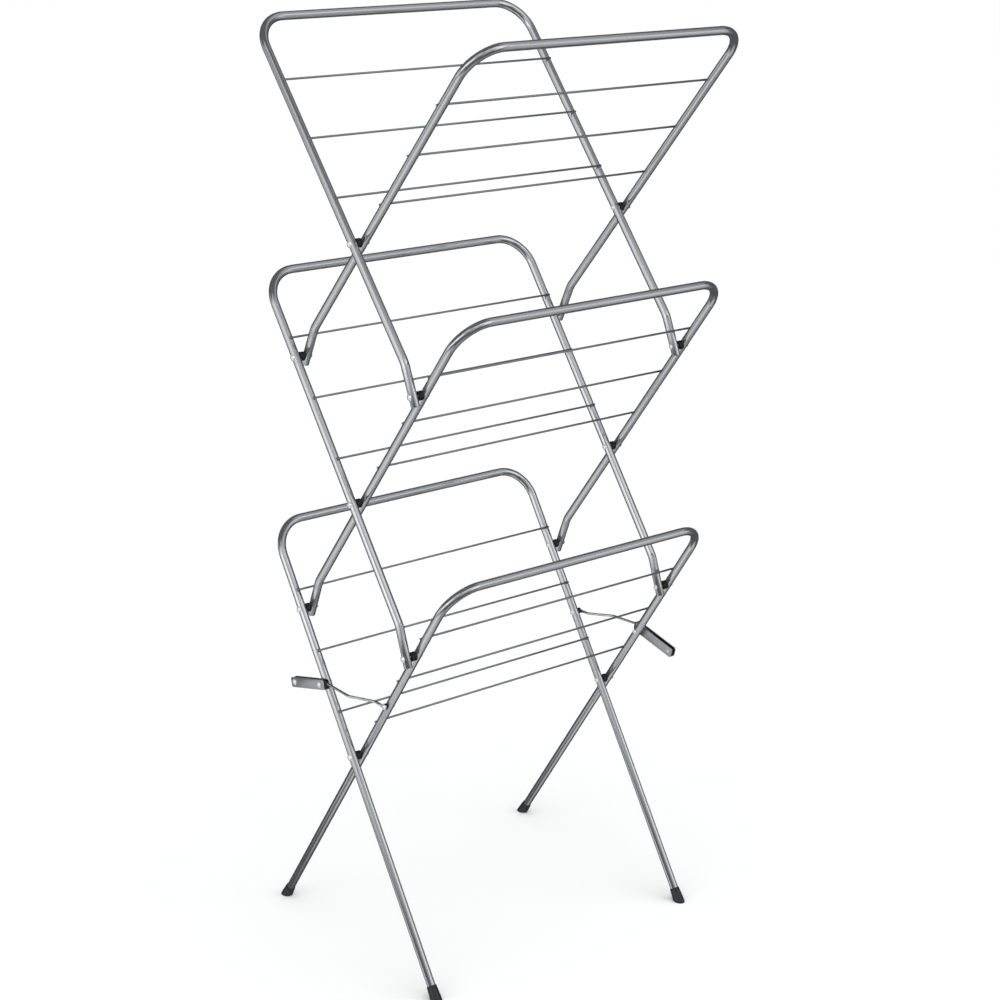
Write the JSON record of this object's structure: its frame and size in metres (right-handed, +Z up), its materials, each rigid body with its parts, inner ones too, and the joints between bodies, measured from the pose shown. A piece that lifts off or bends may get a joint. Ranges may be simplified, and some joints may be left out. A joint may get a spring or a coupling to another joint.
{
  "type": "clothes drying rack",
  "caption": "Free-standing concertina drying rack with tiers of crossing U-shaped tube frames, drying wires, plastic-capped feet and an over-centre lock lever on each side; it folds flat.",
  "frame": {"origin": "on the floor under the middle of the open rack", "axes": "+X along the drying wires, +Y depth (frames a lean towards +Y as they rise), +Z up"},
  "size_m": [0.5674, 0.4934, 1.4168],
  "materials": {
    "painted_tube": "silver-grey powder coat on steel tube, semi-gloss",
    "coated_wire": "grey coated steel wire, semi-gloss",
    "bright_rivet": "bright zinc-plated steel",
    "rod_steel": "zinc-plated drawn rod",
    "lever_steel": "silver-grey powder coat on folded sheet",
    "black_bush": "moulded black plastic",
    "black_cap": "moulded black plastic, slightly glossy"
  },
  "bodies": {
    "base_a": {"base_frame_a": "painted_tube", "base_wire_a1": "coated_wire", "base_wire_a2": "coated_wire", "base_wire_a3": "coated_wire", "foot_cap_a_left": "black_cap", "foot_cap_a_right": "black_cap", "base_frame_a_rivets": "bright_rivet", "base_crossing_spacers": "black_bush", "middle_foot_b_spacers": "black_bush", "lever_pivot_rivet_left": "bright_rivet", "link_anchor_right": "bright_rivet"},
    "base_b": {"base_frame_b": "painted_tube", "base_wire_b1": "coated_wire", "base_wire_b2": "coated_wire", "base_wire_b3": "coated_wire", "foot_cap_b_left": "black_cap", "foot_cap_b_right": "black_cap", "base_frame_b_rivets": "bright_rivet", "middle_foot_a_spacers": "black_bush", "lever_pivot_rivet_right": "bright_rivet", "link_anchor_left": "bright_rivet"},
    "middle_a": {"middle_frame_a": "painted_tube", "middle_wire_a1": "coated_wire", "middle_wire_a2": "coated_wire", "middle_wire_a3": "coated_wire", "middle_frame_a_rivets": "bright_rivet", "middle_crossing_spacers": "black_bush", "top_foot_b_spacers": "black_bush"},
    "middle_b": {"middle_frame_b": "painted_tube", "middle_wire_b1": "coated_wire", "middle_wire_b2": "coated_wire", "middle_wire_b3": "coated_wire", "middle_frame_b_rivets": "bright_rivet", "top_foot_a_spacers": "black_bush"},
    "top_a": {"top_frame_a": "painted_tube", "top_wire_a1": "coated_wire", "top_wire_a2": "coated_wire", "top_wire_a3": "coated_wire", "top_frame_a_rivets": "bright_rivet", "top_crossing_spacers": "black_bush"},
    "top_b": {"top_frame_b": "painted_tube", "top_wire_b1": "coated_wire", "top_wire_b2": "coated_wire", "top_wire_b3": "coated_wire"},
    "lever_left": {"lock_lever_left": "lever_steel", "lever_liner_left": "black_bush", "lever_sleeve_left": "bright_rivet", "lever_end_rivet_left": "bright_rivet"},
    "link_left": {"link_rod_left": "rod_steel", "link_spacer_left": "black_bush", "link_rivet_left": "bright_rivet"},
    "lever_right": {"lock_lever_right": "lever_steel", "lever_liner_right": "black_bush", "lever_sleeve_right": "bright_rivet", "lever_end_rivet_right": "bright_rivet"},
    "link_right": {"link_rod_right": "rod_steel", "link_spacer_right": "black_bush", "link_rivet_right": "bright_rivet"}
  },
  "joints": [
    {"name": "fold", "type": "hinge", "parent": "base_a", "child": "base_b", "pos_m": [0, 0, 0.324], "axis": [1, 0, 0], "range_deg": [0, 98]},
    {"name": "middle_b_hinge", "type": "hinge", "parent": "base_a", "child": "middle_b", "pos_m": [0, 0.13001, 0.52574], "axis": [1, 0, 0], "range_deg": [0, 98.5]},
    {"name": "middle_a_hinge", "type": "hinge", "parent": "base_b", "child": "middle_a", "pos_m": [0, -0.13001, 0.52574], "axis": [1, 0, 0], "range_deg": [-98.5, 0]},
    {"name": "top_a_hinge", "type": "hinge", "parent": "middle_b", "child": "top_a", "pos_m": [0, -0.14107, 0.92164], "axis": [1, 0, 0], "range_deg": [-98.5, 0]},
    {"name": "top_b_hinge", "type": "hinge", "parent": "middle_a", "child": "top_b", "pos_m": [0, 0.14107, 0.92164], "axis": [1, 0, 0], "range_deg": [0, 98.5]},
    {"name": "lever_left_swing", "type": "hinge", "parent": "base_a", "child": "lever_left", "pos_m": [0, 0.065, 0.42487], "axis": [1, 0, 0], "range_deg": [0, 199.3]},
    {"name": "link_left_swing", "type": "hinge", "parent": "lever_left", "child": "link_left", "pos_m": [0, 0.1299, 0.40821], "axis": [1, 0, 0], "range_deg": [-131.5, 0]},
    {"name": "lever_right_swing", "type": "hinge", "parent": "base_b", "child": "lever_right", "pos_m": [0, -0.065, 0.42487], "axis": [-1, 0, 0], "range_deg": [0, 199.3]},
    {"name": "link_right_swing", "type": "hinge", "parent": "lever_right", "child": "link_right", "pos_m": [0, -0.1299, 0.40821], "axis": [-1, 0, 0], "range_deg": [-131.5, 0]}
  ],
  "couplings": [
    {"joint": "middle_b_hinge", "follows": "fold", "ratio": 1},
    {"joint": "middle_a_hinge", "follows": "fold", "ratio": -1},
    {"joint": "top_a_hinge", "follows": "fold", "ratio": -1},
    {"joint": "top_b_hinge", "follows": "fold", "ratio": 1},
    {"joint": "lever_left_swing", "follows": "fold", "ratio": 2.0282},
    {"joint": "link_left_swing", "follows": "fold", "ratio": -1.3363},
    {"joint": "lever_right_swing", "follows": "fold", "ratio": 2.0282},
    {"joint": "link_right_swing", "follows": "fold", "ratio": -1.3363}
  ]
}
